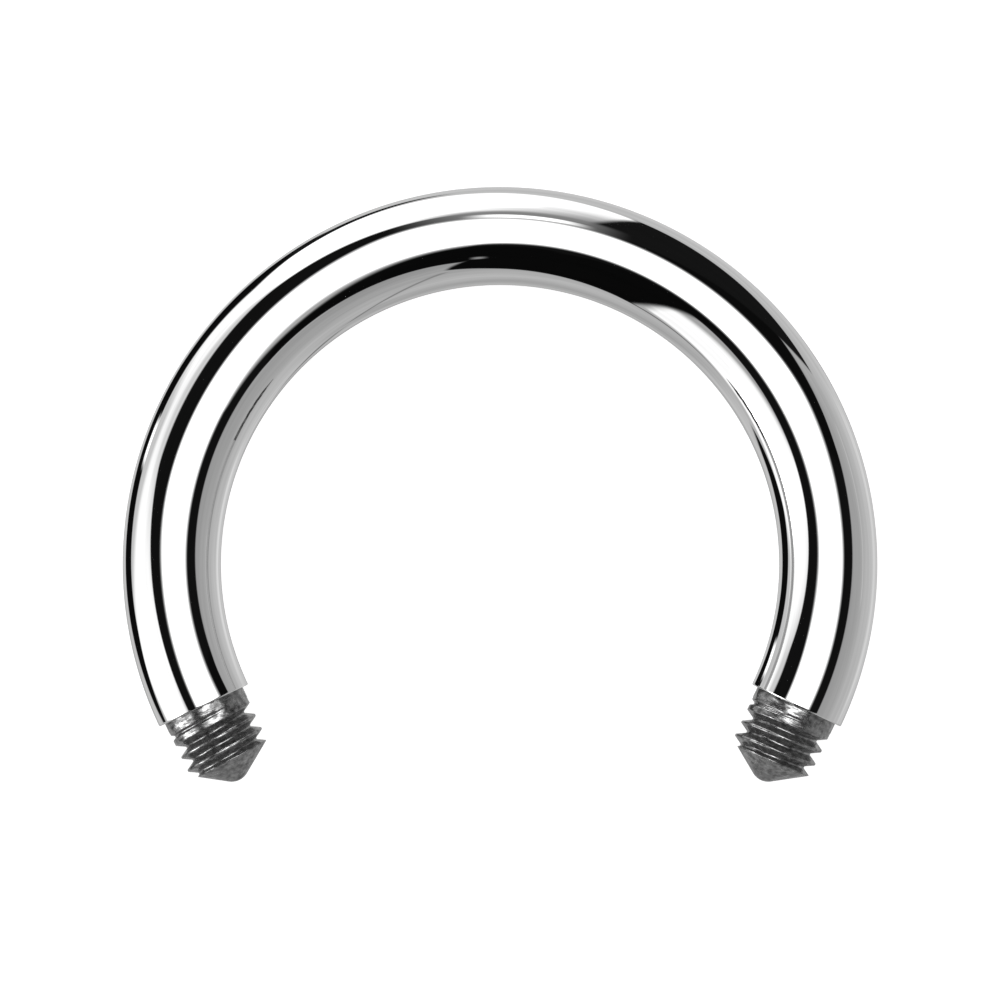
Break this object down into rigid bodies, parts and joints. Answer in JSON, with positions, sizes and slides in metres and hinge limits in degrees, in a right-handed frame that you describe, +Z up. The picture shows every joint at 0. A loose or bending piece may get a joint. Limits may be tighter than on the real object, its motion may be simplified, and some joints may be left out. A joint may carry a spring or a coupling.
{
  "type": "horseshoe barbell bar without balls",
  "caption": "Open curved bar of polished round steel wire, each end turned down to a short pointed screw thread that takes a ball; worn through a piercing.",
  "frame": {"origin": "centre of the curve, on the surface that the bar rests on", "axes": "+Z up from that surface, square to the flat of the curve; +Y towards the middle of the bend, so that the open side and the threaded ends face -Y; +X across"},
  "size_m": [0.0122, 0.0096, 0.0016],
  "materials": {
    "polished_steel": "mirror-polished surgical steel, with the threaded ends left as cut and duller"
  },
  "bodies": {
    "root": {"horseshoe_bar": "polished_steel"}
  },
  "joints": []
}
